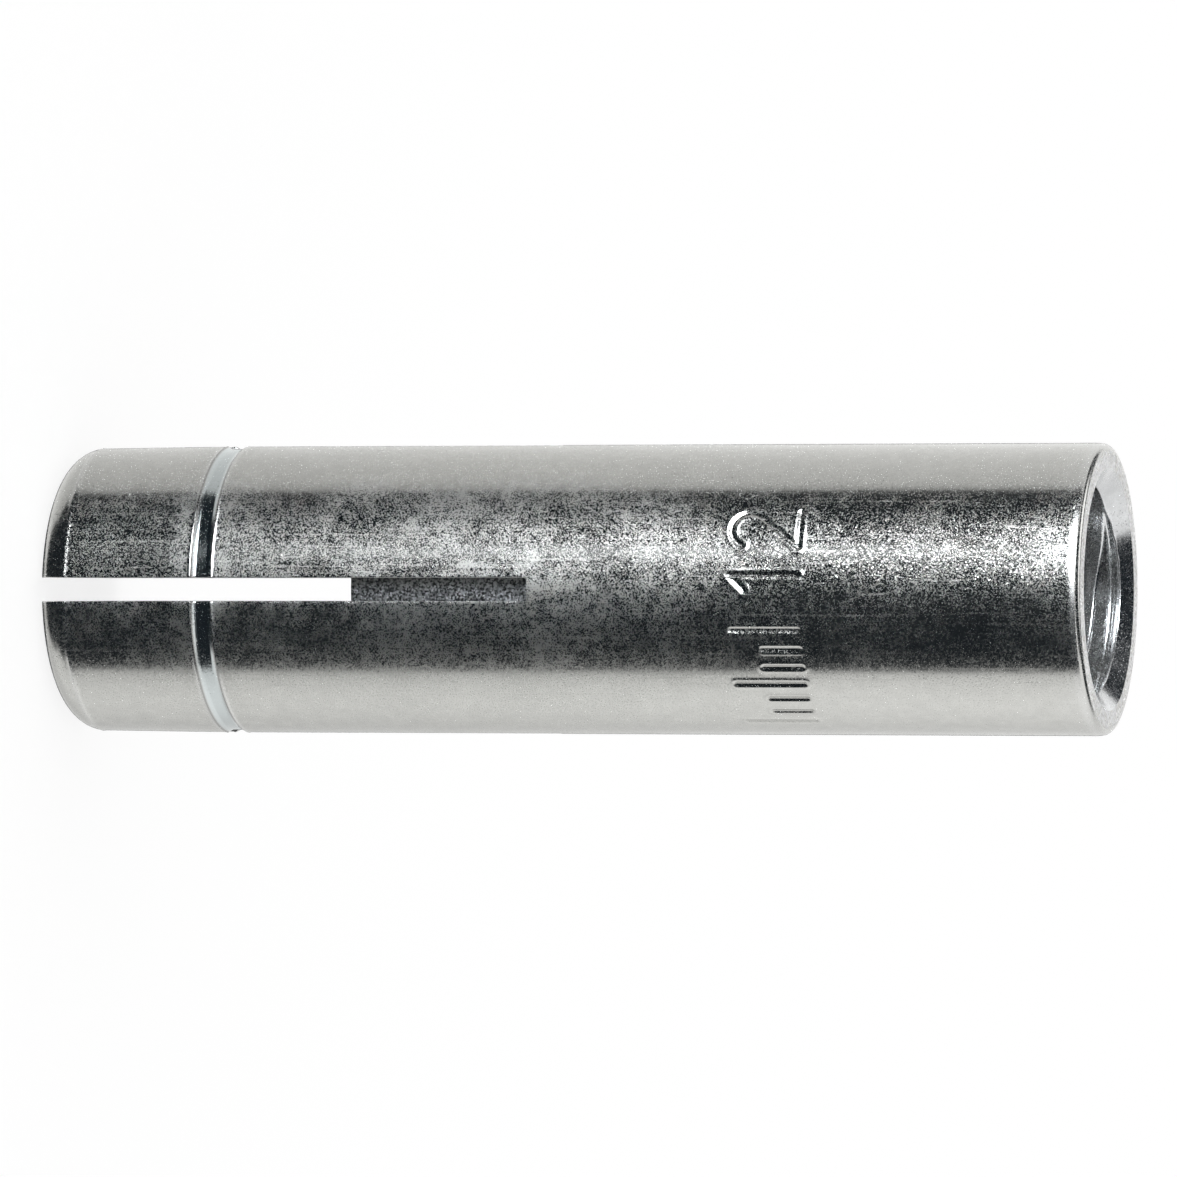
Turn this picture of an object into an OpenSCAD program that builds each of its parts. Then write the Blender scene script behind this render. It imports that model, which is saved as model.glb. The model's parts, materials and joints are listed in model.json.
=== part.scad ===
// Drop-in anchor: a slit steel sleeve with a threaded mouth, and the tapered
// plug that spreads its nose when it is driven down the bore.
// The nose stands on the floor at z = 0 and the mouth is at the top.

/* [Sleeve] */
// Outside diameter of the sleeve
sleeve_d = 11.8; // [10.8:0.1:16]
// Length of the sleeve from nose to mouth
sleeve_l = 43.6; // [38:0.1:70]
// Radius of the rounding around the nose
nose_round = 1.4; // [0.4:0.1:2.2]
// Height of the broken edge around the mouth
mouth_break_h = 0.25; // [0.1:0.05:0.6]
// Width of the broken edge around the mouth
mouth_break_w = 0.3; // [0.1:0.05:0.4]

/* [Ring groove] */
// Height of the groove's middle above the nose
groove_z = 7.15; // [3:0.05:12]
// Width of the groove at the sleeve's surface
groove_w = 0.92; // [0.4:0.02:2]
// Depth of the groove
groove_depth = 0.1; // [0.04:0.01:0.3]

/* [Slits] */
// Number of saw cuts across the nose, each making two slits
slit_cuts = 2; // [1:1:3]
// Width of a slit
slit_w = 0.95; // [0.4:0.05:1.6]
// Length of a slit from the nose
slit_l = 20.9; // [14:0.1:26]

/* [Threaded mouth] */
// Diameter of the tapped hole at the thread's crests
thread_minor_d = 8.376; // [7.5:0.002:9.2]
// Pitch of the thread
thread_pitch = 1.5; // [1:0.05:1.75]
// Width of the countersink around the tapped hole, at 45 degrees
countersink_w = 0.7; // [0.2:0.05:0.9]

/* [Expander plug] */
// Height of the plug's front end above the nose
plug_z = 12.7; // [6:0.1:14]
// Length of the plug
plug_l = 11.5; // [8:0.1:13]
// Taper of the plug and of the bore around it, each side in degrees
plug_taper = 3.73; // [2:0.01:6]
// Gap all round as the plug's rear end passes the tapped hole
plug_entry_gap = 0.238; // [0.05:0.001:0.6]
// Broken edge at both ends of the plug
plug_break = 0.25; // [0.1:0.05:0.6]
// Gap all round between the plug and the bore that holds it
plug_clearance = 0.03; // [0.01:0.01:0.1]
// Height of the straight bore between the plug and the tapped hole
pocket_h = 2.4; // [0.5:0.1:6]

/* [Hidden] */

$fn = 96;

// Cuts run past the faces that they open by this much
overrun = 1;

sleeve_r = sleeve_d / 2;

// The groove is an arc in section, with the stated width and depth
groove_arc_r = (pow(groove_w / 2, 2) + pow(groove_depth, 2)) / (2 * groove_depth);

// The plug drops in through the tapped hole, so its size follows from the thread
thread_r = thread_minor_d / 2;
plug_rear_r = thread_r - plug_entry_gap;
plug_top_z = plug_z + plug_l;

// Radius of the plug at a height above its front end
function plug_r(h) = plug_rear_r - (plug_l - h) * tan(plug_taper);

// Radius of the tapered bore at a height above the nose
function taper_r(z) = plug_r(z - plug_z) + plug_clearance;

// Above the plug the bore runs straight, up to a 45 degree shoulder
pocket_r = taper_r(plug_top_z);
shoulder_h = thread_r - pocket_r;
shoulder_z = plug_top_z + pocket_h;

// The tapped hole runs from the shoulder to the countersink
thread_z = shoulder_z + shoulder_h;
countersink_z = sleeve_l - countersink_w;
thread_l = countersink_z - thread_z;

// Metric thread form: 60 degrees between the flanks, and a root an eighth of the pitch wide
flank_angle = 30;
thread_depth = 5 / 8 * thread_pitch * cos(flank_angle);
root_w = thread_pitch / 8;

// Whole turns in the tapped hole, with an even land left at both of its ends
thread_turns = floor(thread_l / thread_pitch);
first_turn_z = thread_z + (thread_l - (thread_turns - 1) * thread_pitch) / 2;

// A turn is cut from a little inside the hole, so that its flanks cross the wall
turn_start_r = thread_r - thread_pitch / 8;
turn_end_r = thread_r + thread_depth;
turn_w = root_w + 2 * (turn_end_r - turn_start_r) * tan(flank_angle);

// Outside of the sleeve in section, turned about the vertical edge
module sleeve_section() {
    difference() {
        polygon([
            [0, 0],
            [sleeve_r, 0],
            [sleeve_r, sleeve_l - mouth_break_h],
            [sleeve_r - mouth_break_w, sleeve_l],
            [0, sleeve_l]
        ]);
        translate([sleeve_r - nose_round, nose_round])
            difference() {
                translate([0, -nose_round - overrun])
                    square(nose_round + overrun);
                circle(r = nose_round);
            }
        translate([sleeve_r + groove_arc_r - groove_depth, groove_z])
            circle(r = groove_arc_r);
    }
}

// Hole right through the sleeve: taper, straight bore, tapped hole, countersink
module sleeve_bore() {
    translate([0, 0, -overrun])
        cylinder(h = plug_top_z + overrun, r1 = taper_r(-overrun), r2 = pocket_r);
    translate([0, 0, plug_top_z])
        cylinder(h = pocket_h, r = pocket_r);
    translate([0, 0, shoulder_z])
        cylinder(h = shoulder_h, r1 = pocket_r, r2 = thread_r);
    translate([0, 0, thread_z])
        cylinder(h = sleeve_l - thread_z, r = thread_r);
    translate([0, 0, countersink_z])
        cylinder(
            h = countersink_w + overrun,
            r1 = thread_r,
            r2 = thread_r + countersink_w + overrun
        );
}

// Turns of the thread, as plain rings
module thread_rings() {
    for (i = [0 : thread_turns - 1])
        translate([0, 0, first_turn_z + i * thread_pitch])
            rotate_extrude()
                polygon([
                    [turn_start_r, -turn_w / 2],
                    [turn_end_r, -root_w / 2],
                    [turn_end_r, root_w / 2],
                    [turn_start_r, turn_w / 2]
                ]);
}

// Saw cuts across the nose, square at their upper ends
module slits() {
    for (i = [0 : slit_cuts - 1])
        rotate([0, 0, i * 180 / slit_cuts])
            translate([-slit_w / 2, -sleeve_d, -overrun])
                cube([slit_w, 2 * sleeve_d, slit_l + overrun]);
}

module sleeve() {
    color("gainsboro")
        difference() {
            rotate_extrude() sleeve_section();
            sleeve_bore();
            thread_rings();
            slits();
        }
}

module expander_plug() {
    color("darkgray")
        translate([0, 0, plug_z])
            rotate_extrude()
                polygon([
                    [0, 0],
                    [plug_r(0) - plug_break, 0],
                    [plug_r(plug_break), plug_break],
                    [plug_r(plug_l - plug_break), plug_l - plug_break],
                    [plug_rear_r - plug_break, plug_l],
                    [0, plug_l]
                ]);
}

sleeve();
expander_plug();
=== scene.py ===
"""Looks of a zinc-plated drop-in anchor, standing on its nose in a small white tent.

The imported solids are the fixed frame. The slit sleeve and its plug are rebuilt here as finely
divided meshes, with the thread, the stamped mark, the groove's lips and the worn edges.
Sizes are in millimetres and angles in degrees unless a name says otherwise; meshes are in metres.
Angles run around the anchor's axis from the front (-Y) towards -X.
"""

import json
import logging
import math
from dataclasses import dataclass, field
from enum import Enum, IntEnum

import bmesh
import bpy
import numpy as np
from mathutils import Matrix, Vector


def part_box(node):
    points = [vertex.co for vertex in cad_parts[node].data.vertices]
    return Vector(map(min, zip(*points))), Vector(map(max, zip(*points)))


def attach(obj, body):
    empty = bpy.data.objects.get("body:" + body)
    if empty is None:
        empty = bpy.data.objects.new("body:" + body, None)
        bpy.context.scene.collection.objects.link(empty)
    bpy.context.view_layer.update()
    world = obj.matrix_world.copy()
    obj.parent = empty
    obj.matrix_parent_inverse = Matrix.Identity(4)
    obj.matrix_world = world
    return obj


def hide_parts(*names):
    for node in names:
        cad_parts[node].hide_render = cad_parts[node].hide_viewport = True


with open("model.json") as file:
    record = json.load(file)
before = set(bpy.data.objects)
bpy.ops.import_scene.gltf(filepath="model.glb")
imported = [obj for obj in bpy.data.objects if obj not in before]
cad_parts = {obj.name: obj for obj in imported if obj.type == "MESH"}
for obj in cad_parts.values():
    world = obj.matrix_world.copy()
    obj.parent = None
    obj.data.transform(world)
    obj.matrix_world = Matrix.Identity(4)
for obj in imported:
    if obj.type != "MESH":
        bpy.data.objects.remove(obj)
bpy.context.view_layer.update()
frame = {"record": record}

LOG = logging.getLogger("anchor")
MM = 0.001
FULL_TURN = 360.0
HALF_TURN = 180.0
QUARTER = 90.0
LEGS = 4

Socket = bpy.types.NodeSocket
Colour = tuple[float, float, float]
Span = tuple[float, float]

# What the finishes read from the points of a mesh, with its value on a plain surface:
# edges rubbed bright, floors turned smooth, darkening that is painted shadow on the plug, and how dense the
# dull grains are
LAYERS = {"worn": 0.0, "turned": 0.0, "grime": 0.0, "grain": 1.0}

# Numbers between which most of a soft noise lies, and closer ones about its average
NOISE_MOST = (0.3, 0.7)
NOISE_MIDDLE = (0.35, 0.65)


def smooth_step(low: float, high: float, value: np.ndarray) -> np.ndarray:
    """Eases values from 0 at the low one to 1 at the high one."""
    share = np.clip((np.asarray(value, float) - low) / (high - low), 0.0, 1.0)
    return share * share * (3.0 - 2.0 * share)


def past(edge: float, fade: float, value: np.ndarray) -> np.ndarray:
    """Gives 0 before an edge and 1 past it, with a fade to both sides."""
    return smooth_step(edge - fade, edge + fade, value)


def within(edge: float, fade: float, value: np.ndarray) -> np.ndarray:
    """Gives 1 before an edge and 0 past it, with a fade to both sides."""
    return 1.0 - past(edge, fade, value)


def bell(value: np.ndarray, middle: float, spread: float) -> np.ndarray:
    """Weighs values by a bell curve, which is 1 at its middle and 0.37 at its spread from there."""
    return np.exp(-(((np.asarray(value, float) - middle) / spread) ** 2))


def off_slit(angle: np.ndarray) -> np.ndarray:
    """Gives how far angles are from the middle of the nearest slit."""
    return (angle + QUARTER / 2) % QUARTER - QUARTER / 2


def section(radius: np.ndarray, height: np.ndarray | float) -> np.ndarray:
    """Pairs radii with heights, one pair in a row."""
    return np.stack(np.broadcast_arrays(radius, height), axis=-1)


def between(ends: np.ndarray, middle: np.ndarray) -> np.ndarray:
    """Puts values between two ends that mirror each other."""
    return np.concatenate([ends[::-1], middle, ends])


def stepped(stops: list[tuple[float, int]]) -> np.ndarray:
    """Divides a line evenly between its stops.

    Args:
        stops: Places in order, each with the number of steps that lead up to it.

    Returns:
        All places along the line.
    """
    places = [np.array([stops[0][0]])]
    for (start, _), (end, steps) in zip(stops, stops[1:]):
        places.append(np.linspace(start, end, steps + 1)[1:])
    return np.concatenate(places)


def around_axis(radius: np.ndarray, angle: np.ndarray, height: np.ndarray) -> np.ndarray:
    """Places points around the anchor's axis.

    Args:
        radius: Distances from the axis.
        angle: Angles from the front, in degrees.
        height: Heights above the nose.

    Returns:
        An array of points, three numbers each.
    """
    turn = np.radians(angle)
    across, ahead, height = np.broadcast_arrays(-radius * np.sin(turn), -radius * np.cos(turn), height)
    return np.stack([across, ahead, height], axis=-1)


def add_object(name: str, data: bpy.types.ID) -> bpy.types.Object:
    """Puts a new object with this data into the scene.

    Args:
        name: Name of the object.
        data: Its mesh or camera.

    Returns:
        The new object.
    """
    made = bpy.data.objects.new(name, data)
    bpy.context.scene.collection.objects.link(made)
    return made


@dataclass(frozen=True)
class Swell:
    """A bell-shaped rise.

    Attributes:
        amount: Height of the rise.
        middle: Where it peaks.
        spread: Distance from there at which it has fallen to 0.37 of its height.
    """

    amount: float
    middle: float
    spread: float

    def at(self, value: np.ndarray) -> np.ndarray:
        """Gives the rise at these values."""
        return self.amount * bell(value, self.middle, self.spread)


class Region(IntEnum):
    """Kinds of surface on the sleeve, numbered as its material slots."""

    OUTSIDE = 0
    FACE = 1
    CUT = 2
    BORE = 3


@dataclass
class MeshDraft:
    """Rows of points and the faces between them, gathered before one mesh is made.

    Attributes:
        points: The points of each row.
        layers: Each row's values of every layer.
        faces: Point numbers of each face.
        regions: The kind of surface that each face belongs to.
        count: Number of points so far.
    """

    points: list[np.ndarray] = field(default_factory=list)
    layers: dict[str, list[np.ndarray]] = field(default_factory=lambda: {name: [] for name in LAYERS})
    faces: list[list[int]] = field(default_factory=list)
    regions: list[int] = field(default_factory=list)
    count: int = 0

    def row(self, points: np.ndarray, **layers: np.ndarray | float) -> np.ndarray:
        """Adds a row of points.

        Args:
            points: The points in order along the row.
            **layers: Values of any of the layers, for the row or for each point.

        Returns:
            The points' numbers in the mesh.
        """
        numbers = np.arange(self.count, self.count + len(points))
        self.points.append(points)
        for name, plain in LAYERS.items():
            self.layers[name].append(np.broadcast_to(np.asarray(layers.get(name, plain), float), len(points)))
        self.count += len(points)
        return numbers

    def fill(self, faces: list | np.ndarray, region: int) -> None:
        """Adds faces of one kind of surface, each given by its point numbers."""
        self.faces.extend([int(number) for number in face] for face in faces)
        self.regions.extend([int(region)] * len(faces))

    def band(self, first: np.ndarray, second: np.ndarray, region: int) -> None:
        """Fills between two rows of equal length with four-sided faces."""
        self.fill(np.stack([first[:-1], first[1:], second[1:], second[:-1]], axis=1), region)

    def zip_rows(self, first: np.ndarray, second: np.ndarray, region: int) -> None:
        """Fills between two rows of any lengths with triangles.

        Args:
            first: Point numbers of one row.
            second: Point numbers of the other row.
            region: The kind of surface that the faces belong to.
        """
        first_at, second_at = self.along(first), self.along(second)
        last_i, last_j = len(first) - 1, len(second) - 1
        i, j = 0, 0
        faces = []
        while i < last_i or j < last_j:
            if j == last_j or (i < last_i and first_at[i + 1] <= second_at[j + 1]):
                faces.append([first[i], first[i + 1], second[j]])
                i += 1
            else:
                faces.append([first[i], second[j + 1], second[j]])
                j += 1
        self.fill(faces, region)

    def along(self, row: np.ndarray) -> np.ndarray:
        """Measures how far along a row each of its points lies.

        Args:
            row: Point numbers in order.

        Returns:
            Shares of the row's length, from 0 to 1.
        """
        points = np.concatenate(self.points)[row]
        steps = np.linalg.norm(np.diff(points, axis=0), axis=1)
        lengths = np.concatenate([[0.0], np.cumsum(steps)])
        return lengths / lengths[-1]

    def build(self, name: str, finishes: list[bpy.types.Material]) -> bpy.types.Object:
        """Makes the mesh, with faces turned outwards and creases where the kind of surface changes.

        Args:
            name: Name of the new piece.
            finishes: One material for each kind of surface.

        Returns:
            The new object, in the scene.
        """
        mesh = bpy.data.meshes.new(name)
        mesh.from_pydata((np.concatenate(self.points) * MM).tolist(), [], self.faces)
        for finish in finishes:
            mesh.materials.append(finish)
        mesh.polygons.foreach_set("material_index", self.regions)
        for label, values in self.layers.items():
            layer = mesh.attributes.new(label, "FLOAT", "POINT")
            layer.data.foreach_set("value", np.concatenate(values).astype(np.float32))
        solid = bmesh.new()
        solid.from_mesh(mesh)
        bmesh.ops.recalc_face_normals(solid, faces=solid.faces)
        for face in solid.faces:
            face.smooth = True
        for edge in solid.edges:
            edge.smooth = len({face.material_index for face in edge.link_faces}) == 1
        solid.to_mesh(mesh)
        solid.free()
        return add_object(name, mesh)


class ShaderBoard:
    """Lays out the nodes of one material."""

    def __init__(self, name: str) -> None:
        """Starts an empty material.

        Args:
            name: Name of the material.
        """
        self.material = bpy.data.materials.new(name)
        self.material.use_nodes = True
        self.tree = self.material.node_tree
        self.tree.nodes.clear()

    def node(self, kind: str, inputs: dict, **settings: object) -> bpy.types.Node:
        """Adds a node.

        Args:
            kind: The node's type.
            inputs: Values or sockets for its inputs, by name or number.
            **settings: Properties of the node itself.

        Returns:
            The new node.
        """
        made = self.tree.nodes.new(kind)
        for name, setting in settings.items():
            setattr(made, name, setting)
        for key, value in inputs.items():
            if isinstance(value, Socket):
                self.tree.links.new(value, made.inputs[key])
            else:
                made.inputs[key].default_value = value
        return made

    def sum(self, operation: str, first: Socket | float, second: Socket | float) -> Socket:
        """Works out one number from two, by this operation of the Math node."""
        return self.node("ShaderNodeMath", {0: first, 1: second}, operation=operation).outputs[0]

    def vector(self, operation: str, first: Socket, second: Socket | Colour | float) -> Socket:
        """Works out one vector from a vector and either another one or the factor of a scaling."""
        key = "Scale" if operation == "SCALE" else 1
        return self.node("ShaderNodeVectorMath", {0: first, key: second}, operation=operation).outputs[0]

    def part(self, vector: Socket, axis: int) -> Socket:
        """Takes one of a vector's three numbers."""
        return self.node("ShaderNodeSeparateXYZ", {0: vector}).outputs[axis]

    def millimetres(self, stretch: Colour = (1.0, 1.0, 1.0)) -> Socket:
        """Gives the place on the piece in millimetres; a small factor draws a pattern out along its axis."""
        place = self.node("ShaderNodeTexCoord", {}).outputs["Object"]
        return self.vector("MULTIPLY", place, tuple(factor / MM for factor in stretch))

    def layer(self, name: str) -> Socket:
        """Reads one of the mesh's layers."""
        return self.node("ShaderNodeAttribute", {}, attribute_name=name).outputs["Fac"]

    def noise(self, place: Socket, size: float, detail: float = 2.0) -> Socket:
        """Gives soft random blotches of a rough size in millimetres, about 0.5 on average."""
        inputs = {"Vector": place, "Scale": 1.0 / size, "Detail": detail}
        return self.node("ShaderNodeTexNoise", inputs).outputs[0]

    def remap(self, value: Socket, span: Span, result: Span) -> Socket:
        """Maps one span of numbers to another, and stops at its ends."""
        inputs = {"Value": value, 1: span[0], 2: span[1], 3: result[0], 4: result[1]}
        return self.node("ShaderNodeMapRange", inputs, clamp=True).outputs[0]

    def blend(self, share: Socket, first: Socket | Colour, second: Socket | Colour) -> Socket:
        """Mixes two colours.

        Args:
            share: How much of the second colour there is, from 0 to 1.
            first: First colour or socket.
            second: Second colour or socket.

        Returns:
            A colour socket.
        """
        mix = self.node("ShaderNodeMix", {0: share}, data_type="RGBA", clamp_factor=True)
        # The sockets for colours come after those for numbers and vectors, and share their names
        for socket, value in ((mix.inputs[6], first), (mix.inputs[7], second)):
            if isinstance(value, Socket):
                self.tree.links.new(value, socket)
            else:
                socket.default_value = (*value, 1.0)
        return mix.outputs[2]

    def finish(self, shader: Socket) -> bpy.types.Material:
        """Joins the shader to the output and returns the material."""
        self.node("ShaderNodeOutputMaterial", {"Surface": shader})
        return self.material


class MetalBoard(ShaderBoard):
    """Lays out the nodes of one metal, which is divided into grains."""

    def __init__(self, name: str, grain: float) -> None:
        """Starts a material with its grains.

        Args:
            name: Name of the material.
            grain: Size of one grain.
        """
        super().__init__(name)
        self.place = self.millimetres()
        cells = self.node("ShaderNodeTexVoronoi", {"Vector": self.place, "Scale": 1.0 / grain})
        self.grains = cells.outputs["Color"]

    def chance(self, draw: int) -> Socket:
        """Gives one of the three random numbers of each grain, from 0 to 1."""
        return self.part(self.grains, draw)


@dataclass(frozen=True)
class GrainyMetal:
    """A bare or plated steel: a shiny ground with dull grains scattered over it.

    Attributes:
        name: Name of the material.
        colour: Colour of the metal.
        worn_colour: Colour where edges are rubbed bright.
        turned_colour: Colour where it is turned smooth.
        dark_and_shadow_colour: Colour of the darkening, which on the plug is painted shadow.
        metallic: How far it is bare metal.
        shine: Roughness of the ground.
        dullness: Roughness of the dullest grains.
        cover: Share of the surface that the dull grains cover.
        dull_span: Sums of chance and cover from which a grain is dull, and at its dullest.
        grain: Size of one grain.
        lean: How far all grains lean, where 1 is as far as they stand.
        scatter: How much further the few glinting grains lean.
        glints_from: Chance from which a grain is one of those few.
        wave: Height of the soft unevenness in the surface.
        wave_size: Size of that unevenness.
        mottle: How far the colour varies between blotches.
        blotch: Size of a blotch.
        blotch_swing: Density of the dull grains in the barest and fullest blotches.
        blotch_detail: How many finer layers the blotches have.
        cloud: Size of the broad clouds of denser grains.
        cloud_swing: Density of the dull grains in the barest and fullest clouds.
        fleck: How far the colour varies between grains.
        fleck_span: Chances between which it does so.
        streak: How much dullness there is in streaks along the axis.
        streak_w: Width of a streak.
        streak_draw: How little it varies along the axis.
        streak_span: Noise from which a streak sets in, and is at its dullest.
        turned_loss: Share of the dull grains that are missing where it is turned smooth.
        ring_pitch: Spacing of turned rings around the axis, or 0 for none.
        ring_depth: Height of those rings.
    """

    name: str
    colour: Colour
    worn_colour: Colour = (0.74, 0.74, 0.73)
    turned_colour: Colour = (0.62, 0.665, 0.665)
    dark_and_shadow_colour: Colour = (0.16, 0.16, 0.15)
    metallic: float = 1.0
    shine: float = 0.14
    dullness: float = 0.4
    cover: float = 0.55
    dull_span: Span = (0.8, 1.45)
    grain: float = 0.036
    lean: float = 0.02
    scatter: float = 0.24
    glints_from: float = 0.91
    wave: float = 0.002
    wave_size: float = 0.6
    mottle: float = 0.04
    blotch: float = 0.5
    blotch_swing: Span = (0.7, 1.3)
    blotch_detail: float = 3.0
    cloud: float = 2.4
    cloud_swing: Span = (0.78, 1.22)
    fleck: float = 0.02
    fleck_span: Span = (0.2, 0.8)
    streak: float = 0.4
    streak_w: float = 0.12
    streak_draw: float = 0.03
    streak_span: Span = (0.58, 0.7)
    turned_loss: float = 0.75
    ring_pitch: float = 0.0
    ring_depth: float = 0.0

    def surface_height(self, board: MetalBoard) -> Socket:
        """Adds up the unevenness that is too fine for the mesh.

        Args:
            board: The material's nodes.

        Returns:
            A height socket, in millimetres.
        """
        height = board.sum("MULTIPLY", board.noise(board.place, self.wave_size), self.wave)
        if self.ring_pitch > 0.0:
            turns = board.sum("MULTIPLY", board.part(board.place, 2), math.tau / self.ring_pitch)
            ring = board.sum("MULTIPLY", board.sum("SINE", turns, 0.0), self.ring_depth)
            height = board.sum("ADD", height, ring)
        return height

    def dull_share(self, board: MetalBoard) -> Socket:
        """Picks the dull grains: sparse where the mesh says so, denser in patches and streaks.

        Args:
            board: The material's nodes.

        Returns:
            A socket that is 0 on the shiny ground and 1 on the dullest grains.
        """
        plain = board.sum("SUBTRACT", 1.0, board.sum("MULTIPLY", board.layer("turned"), self.turned_loss))
        blotches = board.noise(board.place, self.blotch, self.blotch_detail)
        patch = board.remap(blotches, NOISE_MOST, self.blotch_swing)
        cloud = board.remap(board.noise(board.place, self.cloud, 1.0), NOISE_MIDDLE, self.cloud_swing)
        density = board.sum("MULTIPLY", board.sum("MULTIPLY", board.layer("grain"), plain), patch)
        density = board.sum("MULTIPLY", density, cloud)
        picked = board.sum("ADD", board.chance(0), board.sum("MULTIPLY", density, self.cover))
        dull = board.remap(picked, self.dull_span, (0.0, 1.0))
        drawn_out = board.noise(board.millimetres((1.0, 1.0, self.streak_draw)), self.streak_w)
        streaks = board.remap(drawn_out, self.streak_span, (0.0, self.streak))
        return board.sum("ADD", dull, board.sum("MULTIPLY", streaks, plain))

    def normal(self, board: MetalBoard) -> Socket:
        """Leans each grain its own way on the uneven surface.

        Args:
            board: The material's nodes.

        Returns:
            A normal socket.
        """
        bump_inputs = {"Strength": 1.0, "Distance": MM, "Height": self.surface_height(board)}
        bumped = board.node("ShaderNodeBump", bump_inputs).outputs[0]
        lean = board.vector("SUBTRACT", board.grains, (0.5, 0.5, 0.5))
        reach = board.remap(board.chance(2), (self.glints_from, 1.0), (self.lean, self.lean + self.scatter))
        leaning = board.vector("ADD", bumped, board.vector("SCALE", lean, reach))
        return board.node("ShaderNodeVectorMath", {0: leaning}, operation="NORMALIZE").outputs[0]

    def metal(self, board: MetalBoard) -> Socket:
        """Mixes the colour from blotches, flecks, smooth floors, darkening with painted shadow, and rubbed
        edges.

        Args:
            board: The material's nodes.

        Returns:
            A colour socket.
        """
        dark = tuple(channel * (1.0 - self.mottle) for channel in self.colour)
        light = tuple(min(1.0, channel * (1.0 + self.mottle)) for channel in self.colour)
        blotches = board.noise(board.place, self.blotch, self.blotch_detail)
        metal = board.blend(board.remap(blotches, NOISE_MIDDLE, (0.0, 1.0)), dark, light)
        # The grime layer paints shadow on the plug and darkens the groove's edges and the marks' floors
        for layer, colour in (
            ("turned", self.turned_colour),
            ("worn", self.worn_colour),
            ("grime", self.dark_and_shadow_colour),
        ):
            metal = board.blend(board.layer(layer), metal, colour)
        flecks = board.remap(board.chance(1), self.fleck_span, (1.0 - self.fleck, 1.0 + self.fleck))
        return board.vector("SCALE", metal, flecks)

    def material(self) -> bpy.types.Material:
        """Builds the material.

        Returns:
            The new material.
        """
        board = MetalBoard(self.name, self.grain)
        shader_inputs = {
            "Base Color": self.metal(board),
            "Metallic": self.metallic,
            "Roughness": board.remap(self.dull_share(board), (0.0, 1.0), (self.shine, self.dullness)),
            "Normal": self.normal(board),
        }
        return board.finish(board.node("ShaderNodeBsdfPrincipled", shader_inputs).outputs[0])


class Glyph(Enum):
    """Shapes that the marking die leaves, each read with its top towards the nose."""

    LONG_BAR = "long bar"
    SHORT_BAR = "short bar"
    ONE = "one"
    TWO = "two"

    def stroke(self) -> np.ndarray:
        """Draws the shape in a box one unit high, with its middle at zero across.

        Returns:
            A line of points, each point across and up.
        """
        if self is Glyph.LONG_BAR:
            return np.array([(0.0, 0.0), (0.0, 1.0)])
        if self is Glyph.SHORT_BAR:
            return np.array([(0.0, 0.0), (0.0, 0.55)])
        if self is Glyph.ONE:
            return np.array([(-0.16, 0.78), (0.06, 1.0), (0.06, 0.0)])
        bowl_r, bowl_steps = 0.26, 12
        sweep = np.radians(np.linspace(160.0, -38.0, bowl_steps))
        bowl = np.stack([bowl_r * np.cos(sweep), 1.0 - bowl_r + bowl_r * np.sin(sweep)], axis=1)
        return np.concatenate([bowl, [(-0.27, 0.0), (0.27, 0.0)]])


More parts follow.
